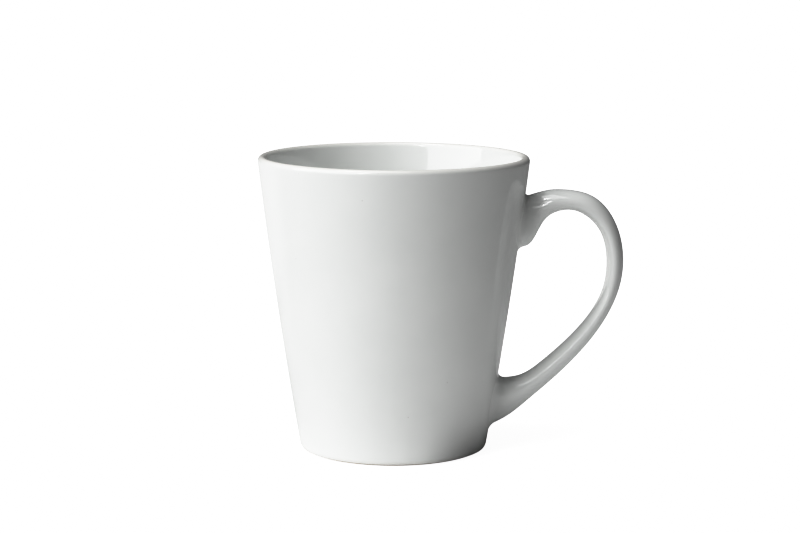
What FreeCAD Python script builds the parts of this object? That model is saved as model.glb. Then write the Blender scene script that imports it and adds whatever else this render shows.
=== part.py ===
import FreeCAD, Part
import math
import os

# A conical porcelain mug with a loop handle. Millimetres, +Z up, origin at the centre of the foot
# on the table plane, handle towards +X. Sizes are over the glaze unless they say biscuit.
# "Skin" is the depth of a surface under the glaze: 0 is the glaze itself, glaze is the biscuit.

V = FreeCAD.Vector

# Cup
rim_diameter = 90.0
height = 98.3
lip_thickness = 3.0
outer_lean_at_rim = 6.8        # degrees from vertical
outer_lean_at_foot = 9.7
foot_diameter = 56.7           # outer edge of the bare ring that touches the table
foot_corner_radius = 3.0
foot_ring_width = 2.6
foot_edge_round = 0.4
recess_depth = 1.6
recess_cove = 1.2

# Inside
floor_top = 5.0
floor_corner_radius = 9.0
floor_flat_radius = 19.8
inner_lean_at_rim = 7.4
inner_lean_at_floor = 9.6

# Glaze and joints
glaze = 0.35
glaze_line = 0.4               # the outside glaze stops this far above the table
slip_thickness = 1.2
upper_fillet = 1.6             # over the glaze, between handle and wall
lower_fillet = 2.4
seam_tolerance = 0.01

# Handle: each rib is (inside x, z, outside x, z), from inside the wall at the upper joint, round
# the loop, to inside the wall at the lower joint. The section between them is egg-shaped: flatter
# towards the fingers and rounder on the outside.
handle_ribs = [
    (39.0, 68.1, 41.6, 84.1),
    (44.6, 68.7, 45.2, 85.4),
    (47.4, 72.6, 48.6, 86.4),
    (50.4, 77.7, 52.2, 87.1),
    (56.0, 80.4, 57.0, 87.1),
    (62.5, 79.2, 65.7, 85.1),
    (67.9, 74.2, 73.1, 77.3),
    (70.8, 65.0, 76.4, 64.6),
    (70.0, 54.5, 74.8, 53.0),
    (65.4, 45.1, 69.5, 42.0),
    (57.8, 36.3, 61.7, 31.9),
    (49.8, 29.1, 53.2, 23.4),
    (42.9, 24.5, 44.8, 16.0),
    (37.8, 23.6, 38.2, 10.7),
    (32.3, 23.6, 30.5, 6.9),
]
strap_width = 13.4
upper_flare = 2.5              # extra width at the upper joint
lower_flare = 2.0
flare_reach = 14.0             # length along the strap over which the width settles
section_power = 2.2            # 2 is an ellipse, more is squarer
section_lean = 0.22            # share of the half depth that the widest line sits nearer the fingers
section_count = 30
section_points = 24


def polar(centre, radius, degrees):
    """Point in the half plane x < 0, where centre is (distance from the axis, z)."""
    r = centre[0] + radius * math.cos(math.radians(degrees))
    z = centre[1] + radius * math.sin(math.radians(degrees))
    return V(-r, 0, z)


def flat(r, z):
    return V(-r, 0, z)


def line(a, b):
    return Part.LineSegment(a, b).toShape()


def arc(centre, radius, start, end):
    """Arc about centre from angle start to angle end, degrees from outward horizontal."""
    middle = polar(centre, radius, (start + end) / 2)
    return Part.Arc(polar(centre, radius, start), middle, polar(centre, radius, end)).toShape()


def leaning(lean):
    """Unit direction up a wall that leans outward by lean degrees from vertical."""
    return V(-math.sin(math.radians(lean)), 0, math.cos(math.radians(lean)))


def wall(start, start_lean, end, end_lean, way):
    """Gently bowed wall line from start to end; way is 1 going up the wall and -1 going down."""
    curve = Part.BSplineCurve()
    curve.interpolate(
        Points=[start, end],
        Parameters=[0, start.distanceToPoint(end)],
        InitialTangent=leaning(start_lean) * way,
        FinalTangent=leaning(end_lean) * way,
    )
    return curve.toShape()


def revolve(edges):
    face = Part.Face(Part.Wire(edges))
    return face.revolve(V(0, 0, 0), V(0, 0, 1), 360)


# Centres of the outline's round stretches, (distance from the axis, z)
lip_centre = (rim_diameter / 2 - lip_thickness / 2, height - lip_thickness / 2)
corner_centre = (foot_diameter / 2, foot_corner_radius - glaze)
floor_centre = (floor_flat_radius, floor_top + floor_corner_radius)
ring_inner_radius = foot_diameter / 2 - foot_ring_width
cove_centre = (ring_inner_radius - recess_cove, recess_depth - recess_cove)
edge_centre = (ring_inner_radius + foot_edge_round, foot_edge_round)


def upper_outline(skin, corner_start):
    """Outside wall, lip, inside wall and floor, from the foot corner to the axis."""
    corner = arc(corner_centre, foot_corner_radius - skin, corner_start, -outer_lean_at_foot)
    lip_radius = lip_thickness / 2 - skin
    lip = arc(lip_centre, lip_radius, -outer_lean_at_rim, 180 - inner_lean_at_rim)
    floor_radius = floor_corner_radius + skin
    floor_corner = arc(floor_centre, floor_radius, -inner_lean_at_floor, -90)
    outside = wall(corner.Vertexes[-1].Point, outer_lean_at_foot,
                   lip.Vertexes[0].Point, outer_lean_at_rim, 1)
    inside = wall(lip.Vertexes[-1].Point, inner_lean_at_rim,
                  floor_corner.Vertexes[0].Point, inner_lean_at_floor, -1)
    floor = line(floor_corner.Vertexes[-1].Point, flat(0, floor_top - skin))
    return [corner, outside, lip, inside, floor_corner, floor]


def biscuit_cup():
    """The fired clay cup, down to the bare foot ring and the recess inside it."""
    edge_round = arc(edge_centre, foot_edge_round, 180, 270)
    cove = arc(cove_centre, recess_cove, 90, 0)
    lower = [
        line(flat(0, floor_top - glaze), flat(0, recess_depth)),
        line(flat(0, recess_depth), cove.Vertexes[0].Point),
        cove,
        edge_round,
        line(edge_round.Vertexes[-1].Point, flat(foot_diameter / 2, 0)),
    ]
    return revolve(upper_outline(glaze, -90) + lower)


def glazed_cup(skin):
    """The cup at a skin depth, cut off inside the clay, so that no face lies on the biscuit."""
    rise = (glaze_line - corner_centre[1]) / (foot_corner_radius - skin)
    start = math.degrees(math.asin(rise))
    upper = upper_outline(skin, start)
    tuck = (recess_depth + floor_top) / 2
    ring_middle = foot_diameter / 2 - foot_ring_width / 2
    lower = [
        line(flat(0, floor_top - skin), flat(0, tuck)),
        line(flat(0, tuck), flat(ring_middle, tuck)),
        line(flat(ring_middle, tuck), flat(ring_middle, glaze_line)),
        line(flat(ring_middle, glaze_line), upper[0].Vertexes[0].Point),
    ]
    return revolve(upper + lower)


def rail(points, stations):
    curve = Part.BSplineCurve()
    curve.interpolate(Points=points, Parameters=stations)
    return curve


def handle_rails():
    """Inside and outside outline curves of the loop, both measured along its middle line."""
    inside = [V(rib[0], 0, rib[1]) for rib in handle_ribs]
    outside = [V(rib[2], 0, rib[3]) for rib in handle_ribs]
    middle = [(a + b) / 2 for a, b in zip(inside, outside)]
    stations = [0.0]
    for a, b in zip(middle, middle[1:]):
        stations.append(stations[-1] + a.distanceToPoint(b))
    return rail(inside, stations), rail(outside, stations), stations[-1]


def strap_width_at(station, length):
    """The strap is widest where it meets the wall and eases to its plain width."""
    upper = max(0.0, 1 - station / flare_reach)
    lower = max(0.0, 1 - (length - station) / flare_reach)
    return strap_width + upper_flare * upper ** 2 + lower_flare * lower ** 2


def rounded(share):
    """A circle's sine or cosine, pushed out towards the corners of its square."""
    return math.copysign(abs(share) ** (2 / section_power), share)


def strap_section(centre, outward, half_depth, half_width):
    """Closed section curve in the plane of outward and Y, starting at its +Y side."""
    points = []
    for i in range(section_points):
        angle = 2 * math.pi * i / section_points
        rise = rounded(math.sin(angle))
        depth = (rise - section_lean * (1 - rise ** 2)) * half_depth
        width = rounded(math.cos(angle)) * half_width
        points.append(centre + outward * depth + V(0, width, 0))
    knots = [float(i) for i in range(section_points + 1)]
    curve = Part.BSplineCurve()
    curve.interpolate(Points=points, PeriodicFlag=True, Parameters=knots)
    return curve


def skinned(sections, stations):
    """Smooth surface through closed sections that all have the same knots."""
    around = sections[0]
    columns = []
    for i in range(1, around.NbPoles + 1):
        columns.append(rail([section.getPole(i) for section in sections], stations))
    along = columns[0]
    rows = []
    for i in range(1, along.NbPoles + 1):
        rows.append([column.getPole(i) for column in columns])
    surface = Part.BSplineSurface()
    surface.buildFromPolesMultsKnots(
        rows, along.getMultiplicities(), around.getMultiplicities(),
        along.getKnots(), around.getKnots(), False, True, along.Degree, around.Degree,
    )
    return surface.toShape()


def handle_strap(skin):
    """The bent strap at a skin depth, with both ends still inside the cup wall."""
    inside, outside, length = handle_rails()
    stations = [length * i / section_count for i in range(section_count + 1)]
    sections = []
    for station in stations:
        near = inside.value(station)
        far = outside.value(station)
        half_depth = near.distanceToPoint(far) / 2 - skin
        half_width = strap_width_at(station, length) / 2 - skin
        outward = (far - near).normalize()
        sections.append(strap_section((near + far) / 2, outward, half_depth, half_width))
    side = skinned(sections, stations)
    caps = [Part.Face(Part.Wire(edge)) for edge in side.Edges if edge.isClosed()]
    shell = Part.Shell([side] + caps)
    shell.sewShape()
    return Part.makeSolid(shell)


def filleted(body, seam, radius):
    """Body with a fillet along its edges that lie on the seam."""
    edges = []
    for edge in body.Edges:
        middle = edge.valueAt((edge.FirstParameter + edge.LastParameter) / 2)
        if seam.distToShape(Part.Vertex(middle))[0] < seam_tolerance:
            edges.append(edge)
    return body.makeFillet(radius, edges)


def joined(cup, strap):
    """Cup and strap in one solid, with a fillet round both places where they meet."""
    seams = cup.section(strap).Edges
    upper = [edge for edge in seams if edge.CenterOfMass.z > height / 2]
    lower = [edge for edge in seams if edge.CenterOfMass.z < height / 2]
    body = filleted(cup.fuse(strap), Part.Compound(upper), upper_fillet)
    return filleted(body, Part.Compound(lower), lower_fillet)


def underside_pool():
    """Glaze in the recess, following its cove down to just above the table."""
    surface_radius = recess_cove - glaze
    inner = arc(cove_centre, surface_radius, 90, 0)
    outer = arc(cove_centre, recess_cove, 0, 90)
    return revolve([
        line(flat(0, recess_depth - glaze), inner.Vertexes[0].Point),
        inner,
        line(inner.Vertexes[-1].Point, outer.Vertexes[0].Point),
        outer,
        line(outer.Vertexes[-1].Point, flat(0, recess_depth)),
        line(flat(0, recess_depth), flat(0, recess_depth - glaze)),
    ])


def largest(shape):
    return max(shape.Solids, key=lambda solid: solid.Volume)


def by_height(shape):
    """Solids of shape from the lowest to the highest."""
    return sorted(shape.Solids, key=lambda solid: solid.CenterOfMass.z)


def save(name, shape):
    shape.exportStep("parts/" + name + ".step")


cup_body = biscuit_cup()
fired_handle = handle_strap(glaze).cut(cup_body)
slip_zone = glazed_cup(glaze - slip_thickness)
lower_slip_joint, upper_slip_joint = by_height(fired_handle.common(slip_zone))
handle = largest(fired_handle.cut(slip_zone))
clay = cup_body.fuse([lower_slip_joint, upper_slip_joint, handle])
glaze_coat = largest(joined(glazed_cup(0), handle_strap(0)).cut(clay))

os.makedirs("parts", exist_ok=True)
save("cup_body", cup_body)
save("handle", handle)
save("upper_slip_joint", upper_slip_joint)
save("lower_slip_joint", lower_slip_joint)
save("glaze_coat", glaze_coat)
save("underside_glaze", underside_pool())
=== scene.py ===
import bmesh
import bpy
import math
import numpy as np
from mathutils import Matrix, Vector


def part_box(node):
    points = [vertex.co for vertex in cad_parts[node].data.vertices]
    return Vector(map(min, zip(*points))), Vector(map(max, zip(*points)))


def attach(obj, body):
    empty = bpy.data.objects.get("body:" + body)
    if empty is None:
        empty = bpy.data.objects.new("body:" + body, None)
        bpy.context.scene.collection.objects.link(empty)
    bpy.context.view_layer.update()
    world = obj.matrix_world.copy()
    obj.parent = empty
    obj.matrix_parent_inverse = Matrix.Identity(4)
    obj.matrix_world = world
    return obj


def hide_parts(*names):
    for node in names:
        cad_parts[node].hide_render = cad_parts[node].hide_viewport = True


# A conical glazed mug with a loop handle. Metres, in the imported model's frame: origin at the centre
# of the foot, +Z up, handle towards +X. MM turns millimetre sizes into metres.

MM = 0.001
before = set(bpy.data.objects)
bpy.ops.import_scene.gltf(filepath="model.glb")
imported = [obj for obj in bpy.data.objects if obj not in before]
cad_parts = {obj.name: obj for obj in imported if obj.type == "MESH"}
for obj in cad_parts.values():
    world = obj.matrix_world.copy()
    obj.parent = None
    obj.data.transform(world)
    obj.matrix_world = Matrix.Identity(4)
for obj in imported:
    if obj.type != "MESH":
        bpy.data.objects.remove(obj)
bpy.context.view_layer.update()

# ---------------------------------------------------------------- sizes taken from the frame
glaze_low, glaze_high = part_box("glaze_coat")
clay_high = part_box("cup_body")[1]
pool_low, pool_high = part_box("underside_glaze")

RIM_RADIUS = -glaze_low.x
HEIGHT = glaze_high.z
GLAZE = glaze_high.z - clay_high.z
GLAZE_LINE = glaze_low.z
RECESS_DEPTH = pool_high.z
RING_INNER_RADIUS = -pool_low.x

# ---------------------------------------------------------------- sizes of the cup's shapes
FOOT_RING_WIDTH = 2.6 * MM
FOOT_RADIUS = RING_INNER_RADIUS + FOOT_RING_WIDTH
LIP_RADIUS = 1.5 * MM
CORNER_RADIUS = 3.0 * MM
OUTER_LEAN_RIM = math.radians(6.8)          # leans of the wall from vertical
OUTER_LEAN_FOOT = math.radians(9.7)
INNER_LEAN_RIM = math.radians(7.4)
INNER_LEAN_FLOOR = math.radians(9.6)
FLOOR_TOP = 5.0 * MM
FLOOR_CORNER = 9.0 * MM
FLOOR_FLAT_RADIUS = 19.8 * MM
RECESS_COVE = 1.2 * MM
FOOT_EDGE = 0.4 * MM

# ---------------------------------------------------------------- sizes of the handle's shapes
# Ribs in mm: inside x, z and outside x, z, from the upper joint round the loop to the lower one
HANDLE_RIBS = np.array([
    (39.0, 68.1, 41.6, 84.1),
    (44.6, 68.7, 45.2, 85.4),
    (47.4, 72.6, 48.6, 86.4),
    (50.4, 77.7, 52.2, 87.1),
    (56.0, 80.4, 57.0, 87.1),
    (62.5, 79.2, 65.7, 85.1),
    (67.9, 74.2, 73.1, 77.3),
    (70.8, 65.0, 76.4, 64.6),
    (70.0, 54.5, 74.8, 53.0),
    (65.4, 45.1, 69.5, 42.0),
    (57.8, 36.3, 61.7, 31.9),
    (49.8, 29.1, 53.2, 23.4),
    (42.9, 24.5, 44.8, 16.0),
    (37.8, 23.6, 38.2, 10.7),
    (32.3, 23.6, 30.5, 6.9),
]) * MM
STRAP_WIDTH = 13.4 * MM
UPPER_FLARE = 2.5 * MM                      # extra width where the strap meets the wall
LOWER_FLARE = 2.0 * MM
FLARE_REACH = 14.0 * MM
SECTION_POWER = 2.2                         # 2 is an ellipse, more is squarer
SECTION_LEAN = 0.22                         # shift of the widest line towards the inside

# Fillets where the handle meets the wall: above, beside and below the strap
UPPER_FILLET = (1.5 * MM, 1.4 * MM, 1.8 * MM)
LOWER_FILLET = (2.6 * MM, 2.4 * MM, 1.8 * MM)
FILLET_PULL = 0.56                          # how far the fillet follows strap and wall
JOINT_SPAN = 16.0 * MM                      # length of strap in which it leaves the wall

# ---------------------------------------------------------------- mesh resolution
AROUND = 160                                # quads round the cup
PATCH = 18                                  # quads along each side of a joint's square patch
STRAP_AROUND = 4 * PATCH                    # quads round the handle
LOWER_PATCH = (3.0 * MM, 29.5 * MM)         # heights of each patch's ends
UPPER_PATCH = (61.0 * MM, 92.5 * MM)
MIDDLE_ROWS = 20                            # wall rows between the patches
RIM_ROWS = 3                                # wall rows above them
LOWER_ROW = 1                               # first wall row of each patch
UPPER_ROW = LOWER_ROW + PATCH + MIDDLE_ROWS
INSIDE_ROWS = 48
CLAY_ROWS = 40
STRAP_ROWS = 66
EASE_ROWS = 4                               # rows from a slanting joint to the square strap rows
JOINT_EASE = 2.0 * MM
FILLET_STEPS = 7
PATCH_STEPS = 4
CORNER_STEPS = 10
LIP_STEPS = 16
FLOOR_STEPS = 14
COVE_STEPS = 6
BEAD_STEPS = 4
FOOT_EDGE_STEPS = 5
CONTACT_STEPS = 5                           # across the foot ring's flat face
EDGE_THINNING = (0.15, 0.6, 0.85, 0.96)     # of the glaze at its edge, ring by ring
CURVE_STEPS = 4000                          # of a wall line, before rows are picked from it
SLOPE_STEP = 0.2 * MM                       # for slopes taken as differences
STRAP_STEP = 0.02 * MM
HALVINGS = 50                               # of a search interval


# ================================================================ curves
def arc(centre, radius, start, end, steps):
    """(distance from the axis, z) points on an arc, angles in radians from outward horizontal."""
    angle = np.linspace(start, end, steps + 1)
    return np.stack([centre[0] + radius * np.cos(angle), centre[1] + radius * np.sin(angle)], 1)


def bowed(start, start_lean, end, end_lean, way):
    """Cubic wall line between two points, tangent to a lean from vertical at each end; way is 1 for
    a line that runs up and -1 for one that runs down."""
    t = np.linspace(0, 1, CURVE_STEPS + 1)[:, None]
    chord = np.linalg.norm(end - start)
    start_way = way * chord * np.array([math.sin(start_lean), math.cos(start_lean)])
    end_way = way * chord * np.array([math.sin(end_lean), math.cos(end_lean)])
    a = 2 * t ** 3 - 3 * t ** 2 + 1
    b = t ** 3 - 2 * t ** 2 + t
    c = 3 * t ** 2 - 2 * t ** 3
    d = t ** 3 - t ** 2
    return a * start + b * start_way + c * end + d * end_way


class Spline:
    """Natural cubic spline through points at stations."""

    def __init__(self, stations, points):
        """Solves for the bend (second derivative) at each station."""
        h = np.diff(stations)
        n = len(stations)
        system = np.eye(n)
        right = np.zeros_like(points)
        for i in range(1, n - 1):
            system[i, i - 1:i + 2] = h[i - 1], 2 * (h[i - 1] + h[i]), h[i]
            right[i] = 6 * ((points[i + 1] - points[i]) / h[i]
                            - (points[i] - points[i - 1]) / h[i - 1])
        self.stations = stations
        self.points = points
        self.bend = np.linalg.solve(system, right)

    def __call__(self, where):
        """Points of the spline at the given stations."""
        where = np.atleast_1d(where)
        x, y, m = self.stations, self.points, self.bend
        i = np.clip(np.searchsorted(x, where) - 1, 0, len(x) - 2)
        h = (x[i + 1] - x[i])[:, None]
        a = (x[i + 1] - where)[:, None] / h
        b = 1 - a
        lift = ((a ** 3 - a) * m[i] + (b ** 3 - b) * m[i + 1]) * h ** 2 / 6
        return a * y[i] + b * y[i + 1] + lift


# ================================================================ cup outline
LIP_CENTRE = np.array([RIM_RADIUS - LIP_RADIUS, HEIGHT - LIP_RADIUS])
CORNER_CENTRE = np.array([FOOT_RADIUS, CORNER_RADIUS - GLAZE])
FLOOR_CENTRE = np.array([FLOOR_FLAT_RADIUS, FLOOR_TOP + FLOOR_CORNER])
COVE_CENTRE = np.array([RING_INNER_RADIUS - RECESS_COVE, RECESS_DEPTH - RECESS_COVE])


def cup_outline(skin, corner_start):
    """The parts of the outline at a depth under the glaze, foot corner to edge of the flat floor."""
    corner = arc(CORNER_CENTRE, CORNER_RADIUS - skin, corner_start, -OUTER_LEAN_FOOT, CORNER_STEPS)
    lip = arc(LIP_CENTRE, LIP_RADIUS - skin, -OUTER_LEAN_RIM, math.pi - INNER_LEAN_RIM, LIP_STEPS)
    floor_corner = arc(FLOOR_CENTRE, FLOOR_CORNER + skin, -INNER_LEAN_FLOOR, -math.pi / 2, FLOOR_STEPS)
    outside = bowed(corner[-1], OUTER_LEAN_FOOT, lip[0], OUTER_LEAN_RIM, 1)
    inside = bowed(lip[-1], INNER_LEAN_RIM, floor_corner[0], INNER_LEAN_FLOOR, -1)
    return corner, outside, lip, inside, floor_corner


def at_heights(curve, heights):
    """Points of a wall curve at given heights."""
    order = np.argsort(curve[:, 1])
    return np.stack([np.interp(heights, curve[order, 1], curve[order, 0]), heights], 1)


GLAZE_START = math.asin((GLAZE_LINE - CORNER_CENTRE[1]) / CORNER_RADIUS)
OUTER_WALL = cup_outline(0, GLAZE_START)[1]


def wall_radius(z):
    """Radius of the outside wall at a height."""
    return np.interp(z, OUTER_WALL[:, 1], OUTER_WALL[:, 0])


def wall_slope(z):
    """Change of the outside wall's radius with height."""
    return (wall_radius(z + SLOPE_STEP) - wall_radius(z - SLOPE_STEP)) / (2 * SLOPE_STEP)


def on_wall(angle, z):
    """Points of the outside wall at an angle from +X and a height."""
    r = wall_radius(z)
    return np.stack([r * np.cos(angle), r * np.sin(angle), z], -1)


# ================================================================ handle surface
RIB_MIDDLES = (HANDLE_RIBS[:, :2] + HANDLE_RIBS[:, 2:]) / 2
RIB_STATIONS = np.r_[0, np.cumsum(np.linalg.norm(np.diff(RIB_MIDDLES, axis=0), axis=1))]
INSIDE_RAIL = Spline(RIB_STATIONS, HANDLE_RIBS[:, :2])
OUTSIDE_RAIL = Spline(RIB_STATIONS, HANDLE_RIBS[:, 2:])
STRAP_LENGTH = RIB_STATIONS[-1]
SECTION_ANGLES = np.arange(STRAP_AROUND) * 2 * math.pi / STRAP_AROUND


def rounded(share):
    """A sine or cosine pushed out towards the corners of its square."""
    return np.copysign(np.abs(share) ** (2 / SECTION_POWER), share)


def strap_point(station, angle):
    """Handle surface at a station along it and an angle round it; angle 0 is the +Y side."""
    near = INSIDE_RAIL(station)
    far = OUTSIDE_RAIL(station)
    depth = rounded(np.sin(angle))[:, None]
    depth = depth - SECTION_LEAN * (1 - depth ** 2)
    upper = np.clip(1 - station / FLARE_REACH, 0, 1)
    lower = np.clip(1 - (STRAP_LENGTH - station) / FLARE_REACH, 0, 1)
    width = STRAP_WIDTH + UPPER_FLARE * upper ** 2 + LOWER_FLARE * lower ** 2
    flat = (near + far) / 2 + (far - near) / 2 * depth
    return np.stack([flat[:, 0], width / 2 * rounded(np.cos(angle)), flat[:, 1]], 1)


def wall_distance(points):
    """Distance of points out from the cup's outside wall."""
    r = np.hypot(points[:, 0], points[:, 1])
    lean = np.arctan(wall_slope(points[:, 2]))
    return (r - wall_radius(points[:, 2])) * np.cos(lean)


def station_at(distance, inner, outer):
    """For each section angle, the station between inner and outer where the strap stands that far
    off the wall."""
    low = np.full(STRAP_AROUND, inner)
    high = np.full(STRAP_AROUND, outer)
    for _ in range(HALVINGS):
        middle = (low + high) / 2
        near = wall_distance(strap_point(middle, SECTION_ANGLES)) < distance
        low = np.where(near, middle, low)
        high = np.where(near, high, middle)
    return (low + high) / 2


# ================================================================ mesh building
class Surface:
    """Vertices and faces collected from several grids that share points by index."""

    def __init__(self):
        self.points = []
        self.faces = []

    def add(self, points):
        """Adds rows of points and returns their indices in the same layout."""
        points = np.asarray(points, float)
        start = sum(len(block) for block in self.points)
        self.points.append(points.reshape(-1, 3))
        return start + np.arange(points.size // 3).reshape(points.shape[:-1])

    def ring_band(self, lower, upper):
        """Quads between two closed rings of indices."""
        count = len(lower)
        for i in range(count):
            j = (i + 1) % count
            self.faces.append((lower[i], lower[j], upper[j], upper[i]))

    def bands(self, rings):
        """Quads between each closed ring of indices and the next."""
        for lower, upper in zip(rings, rings[1:]):
            self.ring_band(lower, upper)

    def disc(self, rim, radius, z):
        """Fills a level closed ring with a square grid of quads eased into a disc."""
        side = len(rim) // 4
        steps = np.linspace(-1, 1, side + 1)
        index = np.empty((side + 1, side + 1), int)
        edge = square_edge(side)
        turn = side // 2
        for k, (i, j) in enumerate(edge):
            index[i, j] = rim[(k - turn) % len(rim)]
        inner = []
        for i in range(1, side):
            for j in range(1, side):
                x, y = square_to_disc(steps[i], steps[j])
                inner.append((x * radius, y * radius, z))
        index[1:side, 1:side] = self.add(inner).reshape(side - 1, side - 1)
        for i in range(side):
            for j in range(side):
                self.faces.append((index[i, j], index[i + 1, j],
                                   index[i + 1, j + 1], index[i, j + 1]))


def square_edge(side):
    """Grid positions round the edge of a square, counter-clockwise from its corner (+, -)."""
    run = range(side)
    return ([(side, j) for j in run] + [(side - i, side) for i in run]
            + [(0, side - j) for j in run] + [(i, 0) for i in run])


def square_to_disc(x, y):
    """Maps a square onto the unit disc so that equal steps along its sides become equal angles."""
    if x == 0 and y == 0:
        return 0.0, 0.0
    if abs(x) >= abs(y):
        reach, angle = x, math.pi / 4 * y / x
    else:
        reach, angle = y, math.pi / 2 - math.pi / 4 * x / y
    return reach * math.cos(angle), reach * math.sin(angle)


def lathe(surface, outline):
    """Rings of an outline turned round the axis; ring point 0 is on the +X side."""
    angle = np.arange(AROUND) * 2 * math.pi / AROUND
    rings = []
    for r, z in outline:
        ring = np.stack([r * np.cos(angle), r * np.sin(angle), np.full(AROUND, z)], 1)
        rings.append(surface.add(ring))
    return rings


def new_bmesh(points, faces):
    """The faces as a bmesh, turned to agree with each other and outwards where they are closed."""
    work = bmesh.new()
    corners = [work.verts.new(point) for point in points]
    for face in faces:
        work.faces.new([corners[i] for i in face])
    work.verts.index_update()
    work.normal_update()
    bmesh.ops.recalc_face_normals(work, faces=work.faces)
    return work


def new_object(name, points, faces, material):
    """A smooth mesh object of the faces, without the points that none of them uses."""
    work = new_bmesh(points, faces)
    loose = [v for v in work.verts if not v.link_faces]
    bmesh.ops.delete(work, geom=loose, context="VERTS")
    mesh = bpy.data.meshes.new(name)
    work.to_mesh(mesh)
    work.free()
    mesh.materials.append(material)
    for polygon in mesh.polygons:
        polygon.use_smooth = True
    piece = bpy.data.objects.new(name, mesh)
    bpy.context.scene.collection.objects.link(piece)
    return piece


# ================================================================ joints between handle and cup
def wall_normal(points):
    """Outward normals of the outside wall beside the points."""
    angle = np.arctan2(points[:, 1], points[:, 0])
    lean = np.arctan(wall_slope(points[:, 2]))
    return np.stack([np.cos(angle) * np.cos(lean), np.sin(angle) * np.cos(lean), -np.sin(lean)], 1)


def fillet_end(meet, reach):
    """Where a fillet runs out on the wall, and the way back along the wall to where strap and wall
    would meet without it."""
    round_way = np.roll(meet, -1, 0) - np.roll(meet, 1, 0)
    away = np.cross(round_way, wall_normal(meet))
    away /= np.linalg.norm(away, axis=1)[:, None]
    if np.sum(away * (meet - meet.mean(0))) < 0:
        away = -away
    end = meet + away * reach[:, None]
    end = on_wall(np.arctan2(end[:, 1], end[:, 0]), end[:, 2])
    normal = wall_normal(end)
    back = meet - end
    back -= np.sum(back * normal, 1)[:, None] * normal
    return end, back


def joint_rings(inner, outer, reach):
    """Rings of points for the fillet from the strap to the wall, and the stations where it starts."""
    off = station_at(reach, inner, outer)
    meet = strap_point(station_at(0, inner, outer), SECTION_ANGLES)
    start = strap_point(off, SECTION_ANGLES)
    along = strap_point(off - STRAP_STEP * np.sign(outer - inner), SECTION_ANGLES) - start
    along /= np.linalg.norm(along, axis=1)[:, None]
    end, back = fillet_end(meet, reach)

    first = start + along * np.linalg.norm(meet - start, axis=1)[:, None] * FILLET_PULL
    last = end + back * FILLET_PULL
    rings = []
    for t in np.linspace(0, 1, FILLET_STEPS + 1):
        a, b, c, d = (1 - t) ** 3, 3 * t * (1 - t) ** 2, 3 * t ** 2 * (1 - t), t ** 3
        rings.append(a * start + b * first + c * last + d * end)
    return rings, off


def patch_edge(outer, first_row, way):
    """Indices round a square patch of the wall grid, from the middle of its +Y side; way is 1 to
    start upwards and -1 to start downwards."""
    half = PATCH // 2
    path = ([(k, half) for k in range(half)]
            + [(half, half - k) for k in range(PATCH)]
            + [(half - k, -half) for k in range(PATCH)]
            + [(-half, k - half) for k in range(PATCH)]
            + [(k - half, half) for k in range(half)])
    return [outer[first_row + half + way * row][column % AROUND] for row, column in path]


def wall_rings(surface, start, end):
    """Rings on the wall between the end of a fillet and the edge of its patch."""
    a = np.stack([np.arctan2(start[:, 1], start[:, 0]), start[:, 2]], 1)
    b = np.stack([np.arctan2(end[:, 1], end[:, 0]), end[:, 2]], 1)
    rings = []
    for t in np.linspace(0, 1, PATCH_STEPS + 1)[1:-1]:
        place = a * (1 - t) + b * t
        rings.append(surface.add(on_wall(place[:, 0], place[:, 1])))
    return rings


def fillet_reach(above, beside, below, way):
    """Fillet size round a joint; way is 1 where the section's first quarter points up."""
    lift = np.sin(SECTION_ANGLES) * way
    side = np.cos(SECTION_ANGLES) ** 2
    up = np.clip(lift, 0, 1) ** 2
    down = np.clip(-lift, 0, 1) ** 2
    return above * up + beside * side + below * down


# ================================================================ the glazed surface
def wall_heights(bottom, top):
    """Heights of the wall's rows, with even rows inside both patches."""
    middle = np.linspace(LOWER_PATCH[1], UPPER_PATCH[0], MIDDLE_ROWS + 1)
    lower = np.linspace(*LOWER_PATCH, PATCH + 1)
    upper = np.linspace(*UPPER_PATCH, PATCH + 1)
    rim = np.linspace(UPPER_PATCH[1], top, RIM_ROWS + 1)
    return np.concatenate([[bottom], lower, middle[1:], upper[1:], rim[1:]])


def wall_with_gaps(surface, outer):
    """Quads between the rings of the outside wall, left open where the joint patches go."""
    for i in range(len(outer) - 1):
        in_patch = 0 <= i - LOWER_ROW < PATCH or 0 <= i - UPPER_ROW < PATCH
        for j in range(AROUND):
            if in_patch and (j + PATCH // 2) % AROUND < PATCH:
                continue
            k = (j + 1) % AROUND
            surface.faces.append((outer[i][j], outer[i][k], outer[i + 1][k], outer[i + 1][j]))


def joint_patch(surface, outer, first_row, end, way, fillet):
    """Fills one patch from its edge to the strap, whose end is inside the wall and which runs on in
    the given way; returns the strap's first ring and its stations."""
    edge = patch_edge(outer, first_row, way)
    edge_points = np.concatenate(surface.points)[edge]
    points, off = joint_rings(end, end + way * JOINT_SPAN, fillet_reach(*fillet, way))
    rings = [surface.add(ring) for ring in points]
    rings += wall_rings(surface, points[-1], edge_points)
    surface.bands(rings + [edge])
    return rings[0], off


def strap_stations(first_off, last_off):
    """Stations round each strap ring, from slanting at one joint, through square, to the other."""
    near = first_off.max() + JOINT_EASE
    far = last_off.min() - JOINT_EASE
    ease = np.linspace(0, 1, EASE_ROWS + 1)[1:-1]
    stations = [first_off * (1 - t) + near * t for t in ease]
    stations += [np.full(STRAP_AROUND, station) for station in np.linspace(near, far, STRAP_ROWS + 1)]
    return stations + [far * (1 - t) + last_off * t for t in ease]


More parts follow.
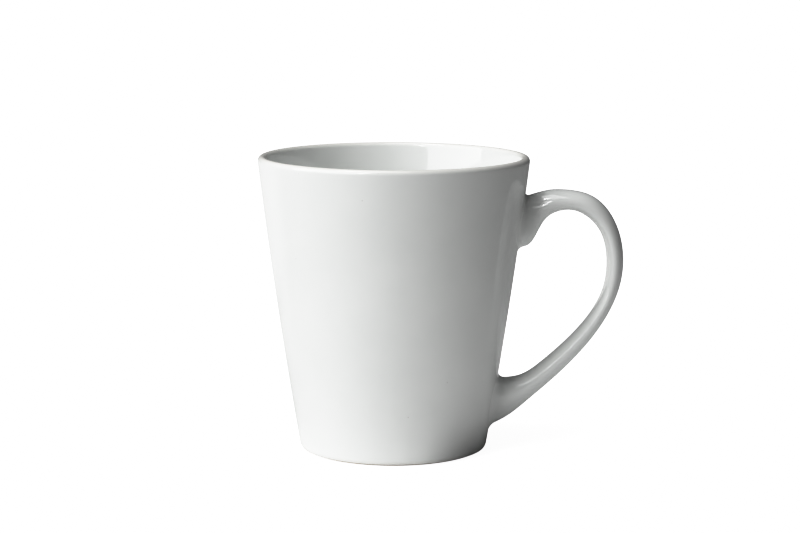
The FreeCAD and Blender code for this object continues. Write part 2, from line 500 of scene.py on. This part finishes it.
def glazed_surface():
    """Cup outside, lip, inside, floor and handle in one open surface; its one edge is the foot."""
    surface = Surface()
    corner, outside, lip, inside, floor_corner = cup_outline(0, GLAZE_START)
    outer = lathe(surface, at_heights(outside, wall_heights(corner[-1, 1], lip[0, 1])))
    wall_with_gaps(surface, outer)

    corner_rings = lathe(surface, corner[:-1]) + [outer[0]]
    surface.bands(corner_rings)
    inner_heights = np.linspace(inside[0, 1], inside[-1, 1], INSIDE_ROWS + 1)
    inner_outline = at_heights(inside, inner_heights)
    rest = lathe(surface, np.concatenate([lip[1:], inner_outline[1:], floor_corner[1:]]))
    surface.bands([outer[-1]] + rest)
    surface.disc(rest[-1], *floor_corner[-1])

    first_ring, first_off = joint_patch(surface, outer, UPPER_ROW, 0.0, 1, UPPER_FILLET)
    last_ring, last_off = joint_patch(surface, outer, LOWER_ROW, STRAP_LENGTH, -1, LOWER_FILLET)
    stations = strap_stations(first_off, last_off)
    strap = [surface.add(strap_point(station, SECTION_ANGLES)) for station in stations]
    surface.bands([first_ring] + strap + [last_ring])
    return np.concatenate(surface.points), surface.faces, corner_rings


def quad_normals(points, faces):
    """Area-weighted normals of the points of a quad mesh."""
    corners = points[np.array(faces)]
    face_normals = np.cross(corners[:, 2] - corners[:, 0], corners[:, 3] - corners[:, 1])
    normals = np.zeros_like(points)
    for corner in range(4):
        np.add.at(normals, np.array(faces)[:, corner], face_normals)
    length = np.linalg.norm(normals, axis=1)[:, None]
    return normals / np.where(length == 0, 1, length)


def oriented(points, faces):
    """Faces turned to agree with the first one, which is turned to face away from the axis."""
    work = new_bmesh(points, faces)
    work.faces.ensure_lookup_table()
    face = work.faces[0]
    flip = face.normal.xy.dot(face.verts[0].co.xy) < 0
    turned = [[v.index for v in f.verts] for f in work.faces]
    work.free()
    return [f[::-1] for f in turned] if flip else turned


def glaze_skin(material):
    """The glaze as a closed shell of even thickness that thins to a rounded edge at the foot."""
    points, faces, corner_rings = glazed_surface()
    faces = oriented(points, faces)
    inner = points - quad_normals(points, faces) * GLAZE
    for ring, share in zip(corner_rings, EDGE_THINNING):
        points[ring] = inner[ring] + (points[ring] - inner[ring]) * share
    count = len(points)
    shell = faces + [[i + count for i in face[::-1]] for face in faces]
    edge = corner_rings[0]
    for i in range(AROUND):
        j = (i + 1) % AROUND
        shell.append([edge[j], edge[i], edge[i] + count, edge[j] + count])
    return new_object("glaze_skin", np.concatenate([points, inner]), shell, material)


def clay_cup(material):
    """The fired clay cup under the glaze, with its bare foot ring and the recess inside it."""
    surface = Surface()
    corner, outside, lip, inside, floor_corner = cup_outline(GLAZE, -math.pi / 2)
    outside = at_heights(outside, np.linspace(corner[-1, 1], lip[0, 1], CLAY_ROWS + 1))
    inside = at_heights(inside, np.linspace(lip[-1, 1], floor_corner[0, 1], CLAY_ROWS + 1))
    upper = [corner, outside[1:], lip[1:], inside[1:], floor_corner[1:]]
    upper_rings = lathe(surface, np.concatenate(upper))
    edge_centre = (RING_INNER_RADIUS + FOOT_EDGE, FOOT_EDGE)
    edge = arc(edge_centre, FOOT_EDGE, -math.pi / 2, -math.pi, FOOT_EDGE_STEPS)
    cove = arc(COVE_CENTRE, RECESS_COVE, 0, math.pi / 2, COVE_STEPS)
    contact_radii = np.linspace(corner[0, 0], edge[0, 0], CONTACT_STEPS + 1)
    contact = np.stack([contact_radii, np.zeros_like(contact_radii)], 1)
    under = np.concatenate([contact[1:], edge[1:], cove[1:]])
    under_rings = [upper_rings[0]] + lathe(surface, under)
    surface.bands(upper_rings)
    surface.bands(under_rings)
    surface.disc(upper_rings[-1], *floor_corner[-1])
    surface.disc(under_rings[-1], *cove[-1])
    return new_object("clay_cup", np.concatenate(surface.points), surface.faces, material)


def glaze_pool(material):
    """Glaze inside the foot ring, with a rounded edge where it was wiped off the ring."""
    surface = Surface()
    upper = arc(COVE_CENTRE, RECESS_COVE, math.pi / 2, 0, COVE_STEPS)
    lower = arc(COVE_CENTRE, RECESS_COVE - GLAZE, 0, math.pi / 2, COVE_STEPS)
    bead_centre = (upper[-1] + lower[0]) / 2
    bead = arc(bead_centre, GLAZE / 2, 0, -math.pi, BEAD_STEPS)
    rings = lathe(surface, np.concatenate([upper[:-1], bead, lower[1:]]))
    surface.bands(rings)
    surface.disc(rings[0], *upper[0])
    surface.disc(rings[-1], *lower[-1])
    return new_object("glaze_pool", np.concatenate(surface.points), surface.faces, material)


# ================================================================ materials
MIX_FACTOR, MIX_FIRST, MIX_SECOND, MIX_RESULT = 0, 6, 7, 2      # colour sockets of a Mix node
DOT_CORE = 0.5                              # share of a dot's radius before it fades

# Glaze. Tones are (value of a noise, colour or roughness) stops; sizes are of features in metres
GLAZE_CLOUD = 14 * MM
GLAZE_TONES = [(0.3, (0.856, 0.871, 0.858, 1)), (0.7, (0.879, 0.892, 0.879, 1))]
THIN_GLAZE = (0.80, 0.765, 0.70, 1)         # warmer, where clay shows through
THIN_SHARE = 0.45
THIN_LIP = 1.4 * MM                         # height of the thin band under the rim
THIN_FOOT_TOP = 2.2 * MM
SPECK_SPACING, SPECK_SIZE = 7.5 * MM, 0.14 * MM
SPECK = (0.33, 0.30, 0.26, 1)
WIPE_SIZE = 9 * MM
WIPE_ROUGHNESS = (0.02, 0.045)
GLAZE_IOR = 1.6
PEEL_SIZE, PEEL_DEPTH = 1.6 * MM, 0.006 * MM
PIT_SPACING, PIT_SIZE, PIT_DEPTH = 4.3 * MM, 0.11 * MM, 0.03 * MM

# Bare clay and slip: light and dark tone of each
BISCUIT_TONES = ((0.70, 0.60, 0.49, 1), (0.60, 0.50, 0.40, 1))
SLIP_TONES = ((0.66, 0.58, 0.50, 1), (0.58, 0.50, 0.43, 1))
GRAIN_SIZE, GRAIN_DEPTH = 0.35 * MM, 0.04 * MM
GRAIN_SHARE = 0.35                          # of the tone, against the clouding
CLAY_CLOUD = 6 * MM
INCLUSION_SPACING, INCLUSION_SIZE = 1.9 * MM, 0.16 * MM
INCLUSION = (0.16, 0.12, 0.09, 1)
SCUFF_SIZE = 1.2 * MM
SCUFF_HEIGHT = 0.3 * MM                     # above the table
SCUFF_SHARE = 0.6
SCUFF = (0.24, 0.225, 0.21, 1)
CLAY_ROUGHNESS = 0.82


def new_material(name):
    """A material with its nodes, its links and its Principled shader."""
    material = bpy.data.materials.new(name)
    material.use_nodes = True
    nodes = material.node_tree.nodes
    return material, nodes, material.node_tree.links, nodes["Principled BSDF"]


def noise(nodes, links, place, size, detail=3.0, rough=0.5):
    """Noise with features about the given size in metres."""
    node = nodes.new("ShaderNodeTexNoise")
    node.inputs["Scale"].default_value = 1 / size
    node.inputs["Detail"].default_value = detail
    node.inputs["Roughness"].default_value = rough
    links.new(place, node.inputs["Vector"])
    return node.outputs["Fac"]


def ramp(nodes, links, source, stops):
    """Colours of a value; stops are (value, colour) pairs."""
    node = nodes.new("ShaderNodeValToRGB")
    elements = node.color_ramp.elements
    elements[0].position, elements[0].color = stops[0]
    elements[1].position, elements[1].color = stops[-1]
    for position, color in stops[1:-1]:
        elements.new(position).color = color
    links.new(source, node.inputs["Fac"])
    return node.outputs["Color"]


def grey(level):
    """An opaque grey."""
    return (level, level, level, 1)


def mixed(nodes, links, factor, first, second):
    """Mix of two colours; the factor and each colour may be a socket or a plain value."""
    node = nodes.new("ShaderNodeMix")
    node.data_type = "RGBA"
    for place, value in ((MIX_FACTOR, factor), (MIX_FIRST, first), (MIX_SECOND, second)):
        if isinstance(value, bpy.types.NodeSocket):
            links.new(value, node.inputs[place])
        else:
            node.inputs[place].default_value = value
    return node.outputs[MIX_RESULT]


def bumped(nodes, links, height, distance, under=None):
    """A bump of the given depth in metres, on top of another one."""
    node = nodes.new("ShaderNodeBump")
    node.inputs["Distance"].default_value = distance
    node.inputs["Strength"].default_value = 1.0
    links.new(height, node.inputs["Height"])
    if under is not None:
        links.new(under, node.inputs["Normal"])
    return node.outputs["Normal"]


def dots(nodes, links, place, spacing, size):
    """Small dots scattered over a surface: 1 inside them and 0 outside."""
    cells = nodes.new("ShaderNodeTexVoronoi")
    cells.inputs["Scale"].default_value = 1 / spacing
    links.new(place, cells.inputs["Vector"])
    edge = size / spacing
    return ramp(nodes, links, cells.outputs["Distance"], [(edge * DOT_CORE, grey(1)), (edge, grey(0))])


def object_place(nodes):
    """Place on the object, in metres."""
    return nodes.new("ShaderNodeTexCoord").outputs["Object"]


def height_of(nodes, links, place):
    """The z of a place."""
    split = nodes.new("ShaderNodeSeparateXYZ")
    links.new(place, split.inputs[0])
    return split.outputs["Z"]


def joined(nodes, links, operation, first, second):
    """Maths on a value and another value or number."""
    node = nodes.new("ShaderNodeMath")
    node.operation = operation
    links.new(first, node.inputs[0])
    if isinstance(second, bpy.types.NodeSocket):
        links.new(second, node.inputs[1])
    else:
        node.inputs[1].default_value = second
    return node.outputs[0]


def vector_maths(nodes, links, operation, vector, other=None):
    """A node for maths on a vector and, where it takes two, a fixed one."""
    node = nodes.new("ShaderNodeVectorMath")
    node.operation = operation
    links.new(vector, node.inputs[0])
    if other is not None:
        node.inputs[1].default_value = other
    return node


def band(nodes, links, value, start, end):
    """Goes from 0 to 1 as a value goes from start to end, and stays there beyond them."""
    node = nodes.new("ShaderNodeMapRange")
    node.inputs["From Min"].default_value = start
    node.inputs["From Max"].default_value = end
    links.new(value, node.inputs["Value"])
    return node.outputs["Result"]


def glaze_material():
    """Clear gloss over white porcelain: faint clouding, a few iron specks, pinholes and orange
    peel, and the warmer body showing through where the glaze thins at the lip and the foot."""
    material, nodes, links, surface = new_material("gloss_glaze")
    place = object_place(nodes)
    white = ramp(nodes, links, noise(nodes, links, place, GLAZE_CLOUD), GLAZE_TONES)
    z = height_of(nodes, links, place)
    lip = band(nodes, links, z, HEIGHT - THIN_LIP, HEIGHT)
    foot = band(nodes, links, z, THIN_FOOT_TOP, GLAZE_LINE)
    thin = joined(nodes, links, "MULTIPLY", joined(nodes, links, "MAXIMUM", lip, foot), THIN_SHARE)
    white = mixed(nodes, links, thin, white, THIN_GLAZE)
    specks = dots(nodes, links, place, SPECK_SPACING, SPECK_SIZE)
    links.new(mixed(nodes, links, specks, white, SPECK), surface.inputs["Base Color"])

    wipe = noise(nodes, links, place, WIPE_SIZE, detail=2.0)
    clean, wiped = WIPE_ROUGHNESS
    roughness = ramp(nodes, links, wipe, [(0.3, grey(clean)), (0.75, grey(wiped))])
    links.new(roughness, surface.inputs["Roughness"])
    surface.inputs["IOR"].default_value = GLAZE_IOR

    peel = noise(nodes, links, place, PEEL_SIZE, detail=1.0)
    normal = bumped(nodes, links, peel, PEEL_DEPTH)
    pits = dots(nodes, links, place, PIT_SPACING, PIT_SIZE)
    normal = bumped(nodes, links, pits, -PIT_DEPTH, under=normal)
    links.new(normal, surface.inputs["Normal"])
    return material


def clay_material(name, light, dark):
    """Bare fired clay: fine grain, small dark inclusions, and grey scuffs where it stands."""
    material, nodes, links, surface = new_material(name)
    place = object_place(nodes)
    grain = noise(nodes, links, place, GRAIN_SIZE, detail=4.0, rough=0.65)
    cloud = noise(nodes, links, place, CLAY_CLOUD)
    tone = mixed(nodes, links, GRAIN_SHARE, cloud, grain)
    color = ramp(nodes, links, tone, [(0.35, dark), (0.65, light)])
    inclusions = dots(nodes, links, place, INCLUSION_SPACING, INCLUSION_SIZE)
    color = mixed(nodes, links, inclusions, color, INCLUSION)

    low = band(nodes, links, height_of(nodes, links, place), SCUFF_HEIGHT, 0.0)
    patches = noise(nodes, links, place, SCUFF_SIZE, detail=5.0, rough=0.7)
    scuffed = ramp(nodes, links, patches, [(0.52, grey(0)), (0.60, grey(SCUFF_SHARE))])
    scuffed = mixed(nodes, links, low, grey(0), scuffed)
    color = mixed(nodes, links, scuffed, color, SCUFF)
    links.new(color, surface.inputs["Base Color"])
    surface.inputs["Roughness"].default_value = CLAY_ROUGHNESS
    links.new(bumped(nodes, links, grain, GRAIN_DEPTH), surface.inputs["Normal"])
    return material


# ================================================================ the mug
white_glaze = glaze_material()
biscuit = clay_material("fired_clay", *BISCUIT_TONES)
slip = clay_material("fired_slip", *SLIP_TONES)

skin = glaze_skin(white_glaze)
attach(skin, "root")
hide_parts("glaze_coat")

cup = clay_cup(biscuit)
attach(cup, "root")
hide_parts("cup_body")

pool = glaze_pool(white_glaze)
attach(pool, "root")
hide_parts("underside_glaze")

for node, material in (("handle", biscuit), ("upper_slip_joint", slip), ("lower_slip_joint", slip)):
    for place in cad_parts[node].material_slots:
        place.material = material


# ================================================================ studio
# Distances are from the mug's axis. A side is in degrees from the camera round to its left, and
# pairs of cosines are of the angle from a side.
LENS = 109.44                               # mm
SENSOR_WIDTH = 36.0                         # mm
VIEW_LIMIT = 20.0
CAMERA_PLACE = (0, -0.8, 0.18467)
CAMERA_TILT = math.radians(8.778)
CAMERA_TURN = math.radians(0.153)
CAMERA_ROLL = math.radians(0.173)

LIGHT_DISTANCE = 1.1
LIGHTS = (                                  # name, side, height, width, tall, radiance
    ("key", 62, 34, 1.3, 1.1, 2.85),
    ("overhead", 60, 80, 0.7, 0.5, 2.5),
    ("top_box", 72, 68, 0.27, 0.17, 8.0),   # makes the spot on the handle's upper bend
    ("strip", 28, 38, 0.05, 0.85, 8.0),     # makes the thin line down the handle
)
WALL_SIDE = 120
WALL_TONES = [                              # from the far side of the studio to WALL_SIDE
    (0.0, grey(0.04)),
    (0.6, grey(0.05)),
    (0.8, grey(0.12)),
    (1.0, grey(0.15)),
]

TABLE_RINGS = (0.08, 0.16, 0.4, 1.0, 2.4, 6.0)      # radii
TABLE_AROUND = 48
TABLE_CLOUD = 60 * MM
TABLE_TONES = [(0.3, grey(0.86)), (0.7, grey(0.89))]
TABLE_NEAR, TABLE_FAR = 0.7, 0.44           # light the table returns to the mug
TABLE_DIMS_OVER = (0.18, 0.22)              # distances from TABLE_NEAR to TABLE_FAR
SHADE_SIDE = -80                            # painted shadow on the table at the foot, under the handle
SHADE_FROM = (0.5, 0.9)                     # cosines, none to full
SHADE_OVER = (0.038, 0.058)                 # distances, full to none
# painted shadow: how dark the mug sees the table beside its foot on the handle's side
PAINTED_SHADOW_TONE = 0.1
PAINTED_SIDE_GLOW = 0.2                             # painted glow on the table beside that patch, seen by the mug only
SIDE_LIT_OVER = (0.14, 0.09)                # distances, none to full
BACK_SIDE = 150                             # painted glow on the table behind the mug, seen by the mug only
PAINTED_BACK_GLOW = 0.6
BACK_LIT_FROM = (0.71, 0.87)                # cosines, none to full
BACK_LIT_OVER = (0.08, 0.3)                 # distances, none to full
TABLE_GLOW = 1.1                            # near the mug, seen by the camera only

FILM_WHITE = 1.3                            # light that prints white
FILM_CURVE = ((0.3, 0.285), (0.5, 0.53), (0.7, 0.755), (0.85, 0.868), (1.0, 0.93))
COMBINED_CURVE = 3                          # the one for all three colours


def camera():
    """Long lens, looking down on the mug by its tilt."""
    data = bpy.data.cameras.new("camera")
    data.lens = LENS
    data.sensor_width = SENSOR_WIDTH
    data.clip_end = VIEW_LIMIT
    eye = bpy.data.objects.new("camera", data)
    turn = Matrix.Rotation(-CAMERA_TURN, 4, "Z")
    tip = Matrix.Rotation(math.pi / 2 - CAMERA_TILT, 4, "X")
    roll = Matrix.Rotation(CAMERA_ROLL, 4, "Z")
    eye.matrix_world = Matrix.Translation(CAMERA_PLACE) @ turn @ tip @ roll
    bpy.context.scene.collection.objects.link(eye)
    bpy.context.scene.camera = eye


def direction(side, height):
    """Unit vector towards a side and a height, both in degrees."""
    side, height = math.radians(side), math.radians(height)
    return Vector((-math.cos(height) * math.sin(side), -math.cos(height) * math.cos(side),
                   math.sin(height)))


def soft_light(name, side, height, width, tall, radiance):
    """A rectangular soft box that faces the mug; radiance is what the mug sees of it."""
    data = bpy.data.lights.new(name, "AREA")
    data.shape = "RECTANGLE"
    data.size = width
    data.size_y = tall
    data.energy = radiance * math.pi * width * tall
    lamp = bpy.data.objects.new(name, data)
    towards = direction(side, height)
    lamp.location = Vector((0, 0, HEIGHT / 2)) + towards * LIGHT_DISTANCE
    lamp.rotation_euler = (-towards).to_track_quat("-Z", "Y").to_euler()
    lamp.visible_camera = False
    bpy.context.scene.collection.objects.link(lamp)


def table():
    """Pale table top, a wide disc that faces up."""
    surface = Surface()
    angle = np.arange(TABLE_AROUND) * 2 * math.pi / TABLE_AROUND
    rings = [surface.add([(r * math.cos(a), r * math.sin(a), 0) for a in angle]) for r in TABLE_RINGS]
    surface.bands(rings)
    surface.disc(rings[0], TABLE_RINGS[0], 0)
    top = new_object("table", np.concatenate(surface.points), surface.faces, table_material())
    if top.data.polygons[0].normal.z < 0:
        for polygon in top.data.polygons:
            polygon.flip()


def on_side(nodes, links, place, side, cosines):
    """1 on one side of the mug and 0 elsewhere, eased between two cosines of the angle from it."""
    way = vector_maths(nodes, links, "NORMALIZE", place).outputs["Vector"]
    along = vector_maths(nodes, links, "DOT_PRODUCT", way, direction(side, 0)).outputs["Value"]
    return band(nodes, links, along, *cosines)


def returned_tone(nodes, links, tone, right, under, distance):
    """How pale the table is to the mug: dimmer far away, and darkened by painted shadow in the patch
    under the handle.
    """
    painted_shadow = mixed(nodes, links, right, tone, grey(PAINTED_SHADOW_TONE))
    far = band(nodes, links, distance, *TABLE_DIMS_OVER)
    open_table = mixed(nodes, links, far, grey(TABLE_NEAR), grey(TABLE_FAR))
    return mixed(nodes, links, under, painted_shadow, open_table)


def painted_glow_colour(nodes, links, place, right, under, distance):
    """Painted glow on the table, behind the mug and beside its painted shadow, which the mug sees and
    the camera doesn't.
    """
    behind = on_side(nodes, links, place, BACK_SIDE, BACK_LIT_FROM)
    back = mixed(nodes, links, behind, grey(0), grey(PAINTED_BACK_GLOW))
    back = mixed(nodes, links, band(nodes, links, distance, *BACK_LIT_OVER), grey(0), back)
    close = band(nodes, links, distance, *SIDE_LIT_OVER)
    beside = mixed(nodes, links, close, grey(0), grey(PAINTED_SIDE_GLOW))
    beside = mixed(nodes, links, under, grey(0), beside)
    return mixed(nodes, links, right, back, beside)


def table_material():
    """Matt white table. The camera sees it glow to white; the mug sees it dimmer and patchy: painted
    shadow beside the foot on the handle's side, and painted glow behind the mug and beside that
    shadow."""
    material, nodes, links, shader = new_material("white_table")
    material.cycles.emission_sampling = "NONE"
    nodes.remove(shader)
    place = object_place(nodes)
    distance = vector_maths(nodes, links, "LENGTH", place).outputs["Value"]
    seen = nodes.new("ShaderNodeLightPath").outputs["Is Camera Ray"]
    right = on_side(nodes, links, place, SHADE_SIDE, SHADE_FROM)
    under = band(nodes, links, distance, *SHADE_OVER)

    tone = ramp(nodes, links, noise(nodes, links, place, TABLE_CLOUD), TABLE_TONES)
    # the mug sees the table with a painted shadow beside the foot on the handle's side
    returned = returned_tone(nodes, links, tone, right, under, distance)
    matt = nodes.new("ShaderNodeBsdfDiffuse")
    links.new(mixed(nodes, links, seen, returned, tone), matt.inputs["Color"])

    distant = band(nodes, links, distance, *BACK_LIT_OVER)
    bright = mixed(nodes, links, distant, grey(TABLE_GLOW), grey(FILM_WHITE))
    # painted glow on the table, seen by the mug only: behind the mug and beside its painted shadow
    painted_glow = painted_glow_colour(nodes, links, place, right, under, distance)
    glow = nodes.new("ShaderNodeEmission")
    links.new(mixed(nodes, links, seen, painted_glow, bright), glow.inputs["Color"])

    both = nodes.new("ShaderNodeAddShader")
    links.new(matt.outputs[0], both.inputs[0])
    links.new(glow.outputs[0], both.inputs[1])
    links.new(both.outputs[0], nodes["Material Output"].inputs["Surface"])
    return material


def surroundings():
    """Studio walls: dim on the handle's side of the mug, lighter on the other, white to the camera."""
    world = bpy.data.worlds.new("studio")
    world.cycles.sampling_method = "NONE"
    world.use_nodes = True
    nodes = world.node_tree.nodes
    links = world.node_tree.links
    way = nodes.new("ShaderNodeTexCoord").outputs["Generated"]
    along = vector_maths(nodes, links, "DOT_PRODUCT", way, direction(WALL_SIDE, 0)).outputs["Value"]
    walls = ramp(nodes, links, band(nodes, links, along, -1, 1), WALL_TONES)
    seen = nodes.new("ShaderNodeLightPath").outputs["Is Camera Ray"]
    color = mixed(nodes, links, seen, walls, grey(FILM_WHITE))
    links.new(color, nodes["Background"].inputs["Color"])
    bpy.context.scene.world = world


def film():
    """The gentle S of a photographic print, which holds the brightest glaze just under white."""
    settings = bpy.context.scene.view_settings
    settings.view_transform = "Standard"
    settings.use_curve_mapping = True
    mapping = settings.curve_mapping
    mapping.extend = "HORIZONTAL"
    mapping.white_level = (FILM_WHITE, FILM_WHITE, FILM_WHITE)
    for light, printed in FILM_CURVE:
        mapping.curves[COMBINED_CURVE].points.new(light / FILM_WHITE, printed)
    mapping.update()


camera()
table()
surroundings()
for light in LIGHTS:
    soft_light(*light)
film()
